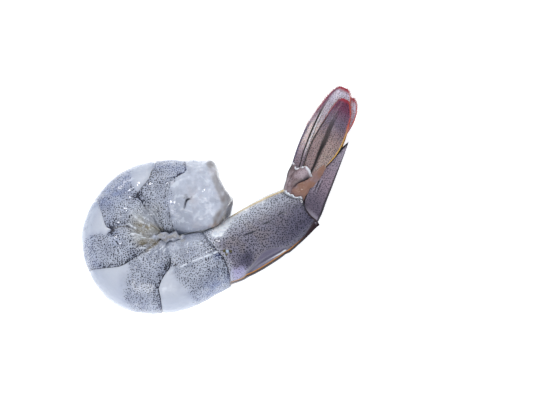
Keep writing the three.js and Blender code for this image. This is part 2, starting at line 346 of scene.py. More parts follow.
# The flank's crease on the fifth ring, with a painted highlight along it: (place, angle).
FLANK_CREASE = [(51.0, 87), (54.8, 88.5), (57.5, 87), (60.2, 84), (64.5, 80.5)]
FLANK_CREASE_HEIGHT = 0.36
FLANK_CREASE_WIDTH = 0.42
MM_PER_DEGREE = 0.13
# Furrows and crests of the belly's folds, each from (angle, place) to (angle, place); the crests carry a
# painted highlight.
FURROWS = [
    [(117, 31.4), (131, 30.9), (145, 31.0)], [(118, 38.9), (129, 40.2), (136, 42.0), (146, 43.5)],
    [(112, 33.4), (127, 34.9), (143, 39.2)],
]
CRESTS = [
    [(112, 34.6), (124, 35.2), (135, 36.6), (143, 38.0)],
    [(115, 35.9), (127, 36.9), (135, 38.1), (143, 40.0)],
    [(110, 39.9), (118, 40.8), (123, 42.8), (129, 45.6)],
    [(112, 42.8), (122, 44.4), (134, 46.6)], [(118, 45.4), (130, 47.6), (141, 50.2)],
    [(128, 49.6), (142, 52.6)], [(126, 53.8), (144, 56.6)], [(118, 57.2), (132, 59.0)],
    [(106, 27.4), (120, 28.6), (136, 29.6)], [(100, 31.2), (112, 31.6), (125, 33.0)],
]


def near_lines(lines, place, degrees, stretch, width):
    """How near one of the lines is."""
    nearest = 0
    for line in lines:
        ends = ease((degrees - line[0][0]) / 6 + 0.3) * ease((line[-1][0] - degrees) / 6 + 0.3)
        if ends:
            off = (place - spline(line, degrees)[0]) * max(stretch, 0.25)
            nearest = max(nearest, ends * bell(off, width))
    return nearest


def pleats(place, degrees, at):
    """The belly's irregular pleats, from about -1 to 1."""
    grain = Vector((place / WRINKLE_SPACING + 0.7 * bumps(at, 2.2), degrees / 40, 3))
    pleat = 1 - 4.0 * abs(noise.noise(grain)) + 0.6 * noise.noise(grain * 2.3)
    patchy = ease(0.45 + 0.45 * bell(place - 36, 6) + noise.noise(at / 3.2 + UP * 7))
    return pleat * patchy * ease((degrees - 98) / 28) * ease((176 - degrees) / 30) * ease((66 - place) / 6)


def belly_side(degrees):
    """From 0 on the flank to 1 on the belly."""
    return ease((degrees - 95) / 35)


def from_crease(place, degrees):
    """How far towards the belly a point of the flank lies from the crease, in mm."""
    return (degrees - spline(FLANK_CREASE, place)[0]) * MM_PER_DEGREE


def flesh_relief(ring, place, angle, to_front, to_rear, stretch, at):
    """Height of the skin over the plain section, in mm."""
    degrees = abs(math.degrees(angle))
    belly = belly_side(degrees)
    share = to_front / (to_front + to_rear)
    fine = 0.05 * bumps(at, 1.1) + 0.02 * bumps(at, 0.45)
    if ring == 0:
        lumps = 0.9 * bumps(at, 4.6) + 0.2 * bumps(at, 2.1) + 0.04 * bumps(at, 0.8)
        lumps += 0.15 * bell(to_front, 1.1)
        folds = 0.35 * (0.5 - abs(noise.noise(Vector((at.x / 3.6, at.y / 2.1, at.z / 2.6 + 4)))))
        return (lumps + folds) * ease(to_rear / 4) - 0.06 * bell(to_rear, 0.5) + 0.5 * fine
    front = STEP_UNDER * bell(to_front * stretch, STEP_LENGTH) * (1 - belly) * (0.3 if ring == 1 else 1)
    rear = REAR_CREASE * bell(to_rear * stretch, REAR_CREASE_LENGTH) * (1 - belly)
    fold = BELLY_FOLD * belly * bell(min(to_front, to_rear) * max(stretch, 0.4), BELLY_FOLD_LENGTH)
    wrinkles = WRINKLE_DEPTH * pleats(place, degrees, at)
    if belly and place < 62:
        wrinkles += 0.3 * near_lines(CRESTS, place, degrees, stretch, 0.3)
        wrinkles -= 0.35 * near_lines(FURROWS, place, degrees, stretch, 0.3)
    relief = RING_BULGE * math.sin(math.pi * share) * (1 - 0.6 * belly) - front - rear - fold
    if ring == 5:
        off = from_crease(place, degrees)
        crease = FLANK_CREASE_HEIGHT * bell(off, FLANK_CREASE_WIDTH) - 0.2 * bell(off + 0.9, 0.4)
        relief += crease * ease((place - 50) / 2)
    return relief + wrinkles + fine + 0.1 * bumps(at, 2.6)


# Yellowish brown spots: (place, angle, radius, amount).
OCHRES = [
    (24.6, 154, 1.0, 1), (22.4, 161, 0.9, 1), (57.8, 141, 0.7, 0.9), (60.6, 32, 0.35, 0.7),
    (42.6, 139, 1.0, 0.9),
]
# Darker knots of pigment at the hinges: (place, angle, radius in mm, amount).
KNOTS = [
    (22.6, 95, 0.8, 1.0), (23.6, 92, 0.5, 0.7), (33.0, 83, 0.9, 1.0), (40.9, 80, 0.5, 0.6),
    (50.4, 94, 0.8, 1.0), (52.6, 96, 0.7, 0.9), (11.9, 67, 0.7, 0.9), (63.4, 77, 0.6, 0.8),
    (20.6, 128, 0.8, 0.5), (37.4, 126, 1.0, 0.5),
]
# Bluish and lilac patches of the back, some of them painted shade on the second ring's back: (place, angle,
# radius, amount).
BLUE_AND_SHADE_PATCHES = [
    (16.4, 40, 1.6, 0.9), (59.0, 15, 3.0, 0.8), (10.2, 60, 1.2, 0.5), (36, 20, 4.0, 0.4),
    (62.8, 73, 1.0, 1), (26, 45, 3.0, 1), (22, 20, 3.0, 0.6), (13.0, 48, 3.4, 0.6), (25.0, 56, 3.6, 1),
]
# Small dark streaks on the neck and the clear backs: (place, angle, radius, amount).
VEINS = [
    (10.2, 105, 0.26, 0.8), (10.5, 109.5, 0.26, 0.8), (9.8, 108, 0.22, 0.6), (8.8, 108, 0.22, 0.6),
    (9.9, 112.3, 0.28, 1), (9.5, 112, 0.28, 1), (9.2, 111.6, 0.24, 0.9), (10.0, 114.5, 0.28, 1),
    (10.2, 117, 0.28, 1), (10.3, 120, 0.28, 0.9), (10.4, 123, 0.28, 0.8), (10.6, 126, 0.26, 0.6),
    (10.9, 129, 0.26, 0.4), (9.0, 123, 0.3, 0.3), (8.4, 125.5, 0.3, 0.3), (10.2, 27, 0.25, 0.5),
    (10.0, 48, 0.3, 0.5), (9.7, 58, 0.25, 0.4), (32.0, 24, 0.22, 0.7), (31.9, 28, 0.22, 0.8),
    (31.8, 32, 0.25, 0.8), (31.7, 37, 0.22, 0.7), (31.5, 46, 0.2, 0.6), (21.0, 43, 0.22, 0.9),
    (20.7, 45, 0.2, 0.8),
]
FLESH_MARKS = (
    "clear", "line", "dense", "warm", "ochre", "neck", "blue", "cut", "pleat", "belly", "vein", "crest",
)


def patches(spots, place, angle, stretch, radius):
    """How much of the spots shows at a point of the skin. radius is the skin's, in mm."""
    degrees = abs(math.degrees(angle))
    total = 0
    for spot_place, spot_angle, size, amount in spots:
        along = (place - spot_place) * stretch
        if abs(along) < 3 * size:
            around = math.radians(degrees - spot_angle) * radius
            total += amount * bell(math.hypot(along, around), size)
    return min(total, 1)


def flesh_marks(ring, place, angle, to_front, to_rear, stretch, at, radius):
    """How much of each mark a point of the skin has."""

    def near(spots):
        return patches(spots, place, angle, stretch, radius)

    degrees = abs(math.degrees(angle))
    jitter = bumps(at, 0.9)
    clear = line = dense = vein = cut = neck = crest = 0
    if CLEARS[ring]:
        length, end, roundness, softness = CLEARS[ring]
        reach = length * (1 - min(degrees / end, 1) ** roundness)
        clear = ease((reach - to_front + 0.35 * jitter) / softness + 0.5) if degrees < end else 0
    if ring > 0:
        line_end, strength = RING_LINES[ring]
        knot = near(KNOTS)
        line = strength * ease((line_end - degrees) / 20) * (1 - 0.35 * belly_side(degrees))
        line *= bell(to_rear * stretch, RING_LINE_WIDTH)
        line += 0.8 * knot * ease(0.3 + 2.2 * bumps(at, 0.5))
        dense = 0.8 * bell(to_rear * stretch, 1.7) + knot + 0.35 * bumps(at, 2.8)
    if ring == 1 and degrees < 74:
        line += bell(to_front, 0.22)
        dense += 0.8 * bell(to_front, 0.9) * ease((degrees - 50) / 20)
    fold = bell(min(to_front, to_rear) * max(stretch, 0.35), 0.45) if 0 < ring < 5 else 0
    belly = ease((degrees - 104) / 26) * ease((place - 17) / 5) * ease((65 - place) / 4)
    warm = ease((degrees - 100) / 26) * ease((place - 14) / 6) * ease((44 - place) / 6)
    warm *= 0.35 + 0.65 * ease((place - 25) / 4)
    warm += 0.6 * ease((degrees - 112) / 20) * ease((15 - place) / 3)
    warm *= 0.65 + 0.5 * bumps(at, 2.2)
    ochre = fold * ease((degrees - 104) / 26) * ease((place - 27) / 5) * ease((48 - place) / 5)
    ochre += 0.7 * ease((degrees - 108) / 20) * bell((place - 38.8) * max(stretch, 0.3), 0.7)
    # The back's own bluish and lilac patches, and painted shade that darkens the back near its middle line,
    # most on the second and third rings.
    blue = near(BLUE_AND_SHADE_PATCHES) + 0.4 * ease((62 - degrees) / 50)
    blue += 0.75 * bell(place - 25, 9) * ease((75 - degrees) / 50)
    if ring == 0:
        loose = ease((degrees - 68) / 14)
        ragged = 0.25 + lerp(0.3, 1.3, loose) * jitter + loose * (1.2 + bumps(at, 2.1))
        neck = 1 - ease((ragged - to_rear) / 0.6 + 0.5)
        dense = 0.3 * ease((degrees - 75) / 10)
        # On the neck this mark is painted shade, darker on its lower side next to the first ring.
        belly = ease((degrees - 80) / 35) * ease((7 - to_rear) / 5)
        warm = ease((degrees - 148) / 12) * ease((6 - place) / 3) * (0.6 + bumps(at, 0.8))
        cut = ease((0.5 + bumps(at, 2.0) - to_front) / 1.1 + 0.5)
    else:
        ochre += near(OCHRES)
    if angle > 0:
        vein = near(VEINS)
    # Painted highlight along the belly's crests.
    if degrees > 90 and 0 < ring and place < 62:
        crest = 0.9 * near_lines(CRESTS, place, degrees, stretch, 0.32) * ease(0.6 + 1.4 * bumps(at, 0.7))
        furrow = near_lines(FURROWS, place, degrees, stretch, 0.5) * ease(0.75 + bumps(at, 1.6))
        ochre += furrow * ease((46 - place) / 4)
    # Painted highlight along the flank's crease.
    if ring == 5:
        broken = ease(0.2 + (place - 52) / 11 + 1.2 * bumps(at, 0.7))
        at_crease = bell(from_crease(place, degrees) + 0.1 * bumps(at, 0.5), 0.3)
        crest += at_crease * ease((place - 50.5) / 2) * broken
    pleat = pleats(place, degrees, at)
    dense = min(max(dense, 0), 1)
    return clear, line, dense, warm, min(ochre, 1), neck, min(blue, 1), cut, pleat, belly, vein, min(crest, 1)


FACE_ROWS = 34  # of the torn face of the neck
RING_ROWS = (50, 42, 84, 84, 100, 92)
END_ROWS = 8  # of the end under the shell
FLESH_COLUMNS = 186
FACE_BULGE = 2.6
FACE_ROUNDNESS = 2.5
ROW_CROWDING = 0.5  # how much closer the rows lie at a ring's edges


def flesh_rows():
    rows = []
    for step in range(FACE_ROWS):
        scale = math.sin(step / FACE_ROWS * math.pi / 2)
        rows.append((0, 0, scale))
    for ring, count in enumerate(RING_ROWS):
        for step in range(count):
            even = step / count
            share = even - ROW_CROWDING * math.sin(2 * math.pi * even) / (2 * math.pi)
            rows.append((ring, share, 1))
    for step in range(END_ROWS + 1):
        rows.append((len(RING_ROWS) - 1, 1 + 0.07 * step / END_ROWS, math.cos(step / END_ROWS * math.pi / 2)))
    return rows


flesh_layout = flesh_rows()


def flesh_shape(row, column):
    ring, share, scale = flesh_layout[row]
    angle = column_angle(column, FLESH_COLUMNS)
    front, rear = edge_place(ring, angle), edge_place(ring + 1, angle)
    place = lerp(front, rear, share)
    is_face = ring == 0 and scale < 1
    if is_face:
        place -= FACE_BULGE * (1 - scale**FACE_ROUNDNESS) ** (1 / FACE_ROUNDNESS)
    _, _, _, sizes, bend = section_at(place)
    to_back, to_side = outline(sizes, angle)
    radius = math.hypot(to_back, to_side)
    stretch = max(1 + bend * to_back, 0.08)
    at = skin_point(place, angle, 0, scale)
    to_front, to_rear = place - front, rear - place
    if is_face:
        to_front = 0
        fibres = noise.noise(Vector((at.x / 4, at.y / 1.2, at.z / 1.2)))
        place -= (0.8 * bumps(at, 4.0) + 0.15 * fibres) * math.sin(math.pi * scale)
    relief = flesh_relief(ring, place, angle, to_front, min(to_rear, rear - front), stretch, at)
    if share > 1:
        relief -= 0.6
    point = skin_point(place, angle, relief, scale)
    if ring == 0:
        point = press_neck(point)
    return point, flesh_marks(ring, place, angle, to_front, to_rear, stretch, at, radius)


flesh = skin("peeled_flesh", len(flesh_layout), FLESH_COLUMNS, flesh_shape, FLESH_MARKS)


class Signal:
    """An output socket of a material's nodes; arithmetic on it adds Math nodes."""

    def __init__(self, tree, socket=None):
        self.tree = tree
        self.socket = socket

    def node(self, kind, settings, inputs, output=0):
        made = self.tree.nodes.new(kind)
        for name, value in settings.items():
            setattr(made, name, value)
        for name, value in inputs.items():
            if isinstance(value, Signal):
                self.tree.links.new(value.socket, made.inputs[name])
            else:
                made.inputs[name].default_value = value
        return Signal(self.tree, made.outputs[output])

    def math(self, operation, first, second):
        return self.node("ShaderNodeMath", {"operation": operation}, {0: first, 1: second})

    def vector(self, operation, inputs, output="Vector"):
        return self.node("ShaderNodeVectorMath", {"operation": operation}, inputs, output)

    def __add__(self, other):
        return self.math("ADD", self, other)

    def __sub__(self, other):
        return self.math("SUBTRACT", self, other)

    def __rsub__(self, other):
        return self.math("SUBTRACT", other, self)

    def __mul__(self, other):
        return self.math("MULTIPLY", self, other)

    def __abs__(self):
        return self.math("ABSOLUTE", self, 0)

    __radd__ = __add__
    __rmul__ = __mul__


def colour(red, green, blue):
    """A display colour, 0 to 255, as the linear one that a shader takes."""
    linear = []
    for value in (red, green, blue):
        share = value / 255
        linear.append(share / 12.92 if share <= 0.04045 else ((share + 0.055) / 1.055) ** 2.4)
    return (*linear, 1)


def object_places(shader):
    """The signal of the places on an object with that shader."""
    return Signal(shader.id_data).node("ShaderNodeTexCoord", {}, {}, "Object")


def feed(shader, signals):
    for socket, signal in signals.items():
        shader.id_data.links.new(signal.socket, shader.inputs[socket])


def marks_of(where, names):
    """The values of the mesh's marks."""
    return [where.node("ShaderNodeAttribute", {"attribute_name": name}, {}, "Fac") for name in names]


def mixed(under, over, amount):
    """One colour over another; one of them, or the amount, is a signal."""
    start = next(value for value in (under, over, amount) if isinstance(value, Signal))
    return start.node("ShaderNodeMix", {"data_type": "RGBA"}, {0: amount, 6: under, 7: over}, 2)


def layered(tone, coats):
    """A tone under coats of (colour, amount), the last on top."""
    for coat, amount in coats:
        tone = mixed(tone, coat, amount)
    return tone


def rising(value, low, high):
    """From 0 to 1 as the value goes from low to high."""
    return value.node("ShaderNodeMapRange", {"interpolation_type": "SMOOTHSTEP"}, {0: value, 1: low, 2: high})


def mottle(where, size, detail=2, output="Fac"):
    """Soft noise from 0 to 1 whose lumps have about that size in metres."""
    inputs = {"Vector": where, "Scale": 1 / size, "Detail": detail}
    return where.node("ShaderNodeTexNoise", {}, inputs, output)


def film(height, strength, depth):
    """The fine relief of a wet surface, its depth in metres."""
    inputs = {"Strength": strength, "Distance": depth, "Height": height}
    return height.node("ShaderNodeBump", {}, inputs, "Normal")


def wavy(where, size, reach):
    """The same places, pushed about by noise."""
    centred = where.vector("SUBTRACT", {0: mottle(where, size, 1, "Color"), 1: (0.5, 0.5, 0.5)})
    return where.vector("ADD", {0: where, 1: where.vector("SCALE", {0: centred, "Scale": reach})})


def spots(where, spacing, radius, softness):
    """Round pigment spots of about that spacing in metres. Their radius is a share of it, and varies."""
    inputs = {"Vector": where, "Scale": 1 / spacing, "Randomness": 0.82}
    cells = where.node("ShaderNodeTexVoronoi", {}, inputs).socket.node.outputs
    centre, chance = Signal(where.tree, cells["Position"]), Signal(where.tree, cells["Color"])
    normal = where.node("ShaderNodeNewGeometry", {}, {}, "Normal")
    away = where.vector("SUBTRACT", {0: where, 1: centre})
    depth = where.vector("DOT_PRODUCT", {0: away, 1: normal}, "Value")
    sunk = where.vector("SCALE", {0: normal, "Scale": depth})
    level = where.vector("SUBTRACT", {0: away, 1: sunk})
    distance = where.vector("LENGTH", {0: level}, "Value") * (1 / spacing)
    varied = where.node("ShaderNodeSeparateColor", {}, {0: chance}, 0) * 0.14 + (radius - 0.07)
    return 1 - rising(distance, varied - softness, varied + softness)


FLESH_GREY = colour(187, 193, 209)
FLESH_DUSK = colour(160, 166, 184)
FLESH_HAZE = colour(104, 114, 140)
FLESH_PALE = colour(198, 204, 216)
FLESH_CLEAR = colour(196, 201, 214)
FLESH_CLEAR_SHADED = colour(136, 148, 176)
FLESH_WHITE_AND_HIGHLIGHT = colour(232, 238, 248)
LINE_NAVY = colour(14, 20, 48)
FLESH_NECK = colour(191, 197, 213)
NECK_DUSK = colour(166, 172, 188)
FLESH_CUT = colour(158, 157, 163)
FLESH_CUT_DEEP = colour(134, 128, 129)
FLESH_PINK = colour(190, 180, 182)
FLESH_WARM = colour(172, 169, 154)
FLESH_BROWN = colour(150, 128, 112)
FLESH_OCHRE = colour(136, 120, 80)
FLESH_BLUE = colour(128, 142, 182)
PIGMENT = colour(12, 16, 40)
PIGMENT_BLUE = colour(18, 30, 78)
WET_MEAT = {
    "IOR": 1.38,
    "Subsurface Weight": 0.55,
    "Subsurface Radius": (1.0, 0.9, 0.9),
    "Subsurface Scale": 0.0009,
    "Coat Weight": 1.0,
    "Coat Roughness": 0.07,
    "Coat IOR": 1.36,
}

flesh_paint, flesh_shader = paint("raw_flesh", WET_MEAT)
where = object_places(flesh_shader)
clear, line, dense, warm, ochre, neck, blue, cut, pleat, belly, vein, crest = marks_of(where, FLESH_MARKS)
clouds = mottle(where, 0.0034)
curled = mottle(wavy(where, 0.005, 0.003), 0.0016, 3)
meat = layered(FLESH_NECK, [
    # Painted shade: darker on the neck's lower side next to the first ring; the belly lumps, whose mark is
    # full, take it all over.
    (NECK_DUSK, belly * 0.9),
    (FLESH_PINK, rising(mottle(where, 0.0045), 0.5, 0.75) * 0.4),
    (NECK_DUSK, rising(curled, 0.5, 0.66) * 0.5),
    (FLESH_WHITE_AND_HIGHLIGHT, (1 - rising(curled, 0.34, 0.44)) * 0.4),
    (mixed(FLESH_CUT, FLESH_CUT_DEEP, rising(mottle(where, 0.0032), 0.45, 0.7)), cut),
    (FLESH_BROWN, warm),
])
swirled = wavy(where, 0.0022, 0.0012)
large = spots(swirled, 0.00053, dense * 0.15 + line * 0.5 + 0.24 - clear * 0.6, 0.05)
small = spots(swirled, 0.00031, dense * 0.12 + 0.2 - clear * 0.6, 0.09)
skinned = (1 - neck) * (1 - belly * 0.65) * (1 - crest)
# Where white glints are painted on the wet belly.
glint = belly * (1 - neck) * rising(mottle(where, 0.0025), 0.4, 0.6)
tone = layered(FLESH_GREY, [
    (FLESH_DUSK, rising(clouds, 0.35, 0.7)),
    (FLESH_HAZE, dense * 0.32),
    (FLESH_BLUE, rising(mottle(where, 0.006), 0.5, 0.75) * 0.22),
    (FLESH_WARM, warm * 0.75),
    # Painted shade, bluish, on the back of the first rings, with the back's own bluish patches; the clear
    # fronts take a shaded copy of their colour there.
    (FLESH_BLUE, blue * rising(mottle(where, 0.0016), 0.2, 0.7) * 0.8),
    (mixed(FLESH_CLEAR, FLESH_CLEAR_SHADED, blue), clear),
    (FLESH_PALE, rising(pleat, 0.3, 1.0) * 0.55),
    (FLESH_OCHRE, rising(pleat * -1, 0.0, 1.0) * warm * 0.5),
    (meat, neck),
    (FLESH_OCHRE, ochre * rising(clouds, 0.2, 0.6) * 0.7),
    # Painted highlights: a white line along the crests, and white glints on the belly.
    (FLESH_WHITE_AND_HIGHLIGHT, rising(crest, 0.1, 0.9) * 0.7),
    (FLESH_WHITE_AND_HIGHLIGHT, glint * rising(mottle(where, 0.0005, 3), 0.54, 0.62) * 0.7),
    (
        mixed(PIGMENT, PIGMENT_BLUE, rising(blue, 0.1, 0.5)),
        rising(large * skinned + small * skinned * 0.4 + vein, 0.0, 1.0),
    ),
    (LINE_NAVY, rising(line * mottle(where, 0.0007), 0.26, 0.52)),
])
feed(flesh_shader, {
    "Base Color": tone,
    "Roughness": mottle(where, 0.0008) * 0.2 + 0.28,
    "Normal": film(mottle(where, 0.0011, 3) + mottle(where, 0.0004) * 0.25, 0.6, 0.0004),
})
flesh.data.materials.append(flesh_paint)
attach(flesh, "root")
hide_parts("flesh")

# ---- Belly lumps ---------------------------------------------------------------------------------
# Soft lumps of the belly that bulge out of its folds and fill the middle of the curl. They are the
# same wet meat as the flesh that they grow from, almost without skin.

# Path of the lumps, in mm: length along it, x, y, height over the table, half width.
LUMPS = [
    (0.0, -6.4, -1.5, 14.4, 0.5), (0.9, -5.5, -1.6, 14.2, 0.75), (2.2, -4.2, -1.7, 13.5, 0.8),
    (3.6, -2.8, -1.2, 12.7, 1.0), (5.2, -1.2, -0.9, 11.9, 1.3), (7.0, 0.6, -0.75, 11.9, 1.3),
    (8.6, 2.2, -0.9, 11.9, 1.1), (10.4, 4.0, -0.6, 11.2, 0.9),
]
LUMP_ROWS = 120
LUMP_COLUMNS = 48


def lump_shape(row, column):
    share = row / (LUMP_ROWS - 1)
    turn = column / LUMP_COLUMNS * 2 * math.pi
    x, y, height, half = spline(LUMPS, share * LUMPS[-1][0])
    lumpy = 0.24 * math.sin(share * 27 + 0.6) + 0.4 * noise.noise(Vector((share * 9, 2.5, 1)))
    half *= 0.85 * math.sqrt(max(1 - (2 * share - 1) ** 4, 0)) * (1 + lumpy)
    centre = Vector((x, y + 0.25 * math.sin(share * 19), height))
    point = centre + Vector((0, half * math.cos(turn), half * math.sin(turn)))
    point += (point - centre) * (0.6 * bumps(point, 1.4) + 0.3 * bumps(point, 0.6))
    look = {
        "warm": 0.1,
        "ochre": 0.63 * ease(0.35 + 1.6 * bumps(point, 1.1)),
        "neck": 0.5,
        "blue": 0.35,
        "pleat": 0.8 * ease(0.8 + bumps(point, 0.7)),
        "belly": 1,
    }
    return point, [look.get(name, 0) for name in FLESH_MARKS]


lumps = skin("belly_lumps", LUMP_ROWS, LUMP_COLUMNS, lump_shape, FLESH_MARKS)
lumps.data.materials.append(flesh_paint)
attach(lumps, "root")

# ---- Shell of the sixth segment ------------------------------------------------------------------
# The one shell ring that is left on, for the tail's sake: thin, glossy and closely spotted, with a
# sharp keel along its back, a long dent beside it, and a rim that the tail fan hinges in.

RIM_PLACE = 87.6
RIM_SLOPE = 0.41
KEEL_HEIGHT = 0.55
KEEL_WIDTH = 5.5
SHELL_GAP = 0.25
SHELL_ROWS = 150
LIP_ROWS = 8
MEMBRANE_ROWS = 24
SHELL_COLUMNS = 176
# The rim, as (angle from the back, place).
RIM = [(0, 89.9), (20, 89.6), (48, 88.6), (82, 88.5), (104, 89.0), (114, 87.9), (136, 86.9), (180, 86.4)]
# The dent beside the keel, as (place, angle): its upper edge, its crest with a painted highlight, its painted
# shade line.
DENT = [(67.2, 9), (68.8, 19), (70.0, 24), (71.8, 30), (73.5, 34), (75.5, 32), (78.0, 24), (79.4, 13)]
DENT_CREST = [(71.0, 15), (73.0, 14.5), (75.0, 13), (77.0, 11), (79.2, 9)]
DENT_SHADE = [(67.5, 5), (69.0, 11), (71.2, 16), (74.2, 18), (78.8, 12)]
# Spots at the front hinge and on the flank: (place, angle, radius, amount).
BEADS = [(65.8, 72, 0.45, 1)]
OLIVES = [(65.2, 76.0, 0.4, 1), (66.5, 68.2, 0.36, 1), (65.2, 66.6, 0.34, 0.9)]
SMUDGES = [(68.2, 38, 1.5, 0.9), (69.9, 42.5, 1.3, 1), (69.2, 28, 1.3, 0.7), (67.6, 30, 1.2, 0.5)]
LILACS = [(64.8, 28, 1.4, 0.9), (65.9, 16, 1.3, 1), (64.3, 18, 1.3, 0.9), (67.0, 24, 1.2, 0.8)]
# Painted sheen of wet light on the shell's belly side, near its front and along its margin: (place, angle,
# radius, amount).
PAINTED_SHEENS = [
    (65.6, 122, 1.0, 0.8), (66.4, 120, 1.2, 0.9), (67.4, 130, 1.5, 1), (68.2, 140, 1.7, 1),
    (69.8, 146, 1.8, 1), (71.2, 150, 1.8, 1), (75, 150, 2.0, 0.7), (80, 150, 2.2, 0.6),
]
SHELL_MARKS = (
    "share", "turn", "keel", "dent", "lip", "groove", "rim", "margin", "soft", "dash", "bead", "olive",
    "smudge", "lilac", "sheen", "scallop", "under",
)
# Short dark scratches: (place, angle, degrees per mm, half length).
DASHES = [(73.0, 83.5, -1.3, 1.7), (78.0, 86.6, -0.8, 1.0), (82.3, 90.8, 0.7, 1.1)]


def rim_place(angle):
    return spline(RIM, abs(math.degrees(angle)))[0]


def shell_shape(row, column):
    angle = column_angle(column, SHELL_COLUMNS)
    degrees = math.degrees(angle)
    front, rear = edge_place(len(EDGES) - 1, angle) + SHELL_GAP, rim_place(angle)
    last = SHELL_ROWS + LIP_ROWS + MEMBRANE_ROWS
    keel = KEEL_HEIGHT * bell(degrees, KEEL_WIDTH)
    if row < LIP_ROWS:
        # The front, tucked in behind the fifth ring.
        inward = 1 - row / LIP_ROWS
        share, place, scale = 0, front - 0.9 * inward, 1 - inward**2
        if row:
            scale = 1 - 0.12 * inward**2
    elif row < SHELL_ROWS:
        share = (row - LIP_ROWS) / (SHELL_ROWS - LIP_ROWS)
        place, scale = lerp(front, rear, share), 1
    elif row < SHELL_ROWS + LIP_ROWS:
        # The rim turns in.
        inward = (row - SHELL_ROWS) / LIP_ROWS
        share, scale = 1, 1 - 0.09 * inward
        place = rear + 0.18 * math.sin(inward * math.pi) - 0.6 * inward
    else:
        # The joint's soft skin closes it.
        inward = (row - SHELL_ROWS - LIP_ROWS) / (last - SHELL_ROWS - LIP_ROWS - 1)
        share, scale = 1, 0.91 * (1 - inward)
        place = rear - 0.6 + 0.25 * math.sin(22 * angle) * bell(inward, 0.15) + 0.4 * inward
    at = skin_point(place, angle, 0, scale)
    flank = abs(degrees)
    radius = math.hypot(*outline(section_at(place)[3], angle))
    dent = lip = groove = 0
    if share < 1 and 66 < place < 81:
        ends = ease((place - 66.4) / 1.4) * ease((80.0 - place) / 1.2)
        dent = ease((spline(DENT, place)[0] - flank) / 8 + 0.5) * ends
        off_crest, off_shade = ((flank - spline(line, place)[0]) * 0.14 for line in (DENT_CREST, DENT_SHADE))
        # lip: the dent's crest, raised and painted with a white highlight; groove: its line of painted shade.
        lip = bell(off_crest, 0.26) * ease((place - 70.5) / 7.5) ** 0.7 * ends
        groove = bell(off_shade, 0.3) * ends
    bead = patches(BEADS, place, angle, 1, radius)
    to_rim = (1 - share) * (rear - front)
    pleated = ease((flank - 98) / 8) * ease((152 - flank) / 8)
    scallop = under = 0
    ragged = 0.7 + 1.1 * bumps(at, 0.9)
    if row >= LIP_ROWS:
        scallop = pleated * bell(to_rim - 0.1, 0.32)
        under = (0.35 + 0.65 * pleated) * bell(to_rim - 0.75, 0.3)
    relief = keel * ease(share * 4) - 0.26 * dent + 0.35 * lip - 0.12 * groove + 0.4 * bead
    relief -= 0.3 * bell(share, 0.05) - 0.14 * bell(1 - share, 0.04)
    relief += 0.06 * bumps(at, 2.4) + 0.02 * bumps(at, 0.6)
    relief += 0.2 * bell(flank - 152, 3.5) * ease((place - 70.5) / 2)
    relief += 0.2 * scallop * (0.6 + math.sin(angle * 38)) * ragged - 0.12 * under
    place += 0.5 * scallop * ragged * abs(math.sin(angle * 14))
    point = skin_point(place, angle, relief, scale)
    dash = 0
    for dash_place, dash_angle, slope, half in DASHES:
        along = place - dash_place
        across = (flank - dash_angle - slope * along) * 0.11  # in mm
        if abs(along) < 2 * half:
            dash += bell(along, half) ** 0.5 * bell(across, 0.28)
    soft = 0 if row < SHELL_ROWS + LIP_ROWS else 1
    rim = bell(to_rim, 0.4) if row >= LIP_ROWS else 0
    margin = bell(flank - 152, 4) * ease((place - 70.5) / 2)
    patchy = [patches(spots, place, angle, 1, radius) for spots in (OLIVES, SMUDGES, LILACS, PAINTED_SHEENS)]
    values = (share, flank / 180, keel / KEEL_HEIGHT, dent, lip, groove, rim, margin, soft, dash, bead)
    return point, (*values, *patchy, scallop, under)


shell = skin("tail_shell", SHELL_ROWS + LIP_ROWS + MEMBRANE_ROWS, SHELL_COLUMNS, shell_shape, SHELL_MARKS)

SHELL_PLUM = colour(124, 121, 140)
SHELL_PALE = colour(196, 202, 218)
SHELL_BROWN = colour(132, 121, 120)
SHELL_LILAC = colour(166, 162, 200)
SHELL_DARK = colour(88, 84, 108)
SHELL_PALE_AND_SHEEN = colour(224, 230, 242)
SHELL_OLIVE = colour(72, 66, 26)
SHELL_DEEP = colour(66, 62, 88)
SHELL_HIGHLIGHT = colour(238, 242, 250)
DENT_LAVENDER = colour(98, 93, 118)
SHELL_BEAD = colour(170, 188, 212)
KEEL_GOLD = colour(182, 120, 44)
KEEL_MAROON = colour(34, 8, 20)
MARGIN_YELLOW = colour(206, 178, 110)
MEMBRANE = colour(150, 132, 124)
WET_SHELL = {
    "IOR": 1.5,
    "Specular IOR Level": 0.3,
    "Subsurface Weight": 0.25,
    "Subsurface Radius": (1.0, 0.8, 0.8),
    "Subsurface Scale": 0.0006,
    "Coat Weight": 1.0,
    "Coat Roughness": 0.13,
    "Coat IOR": 1.36,
}

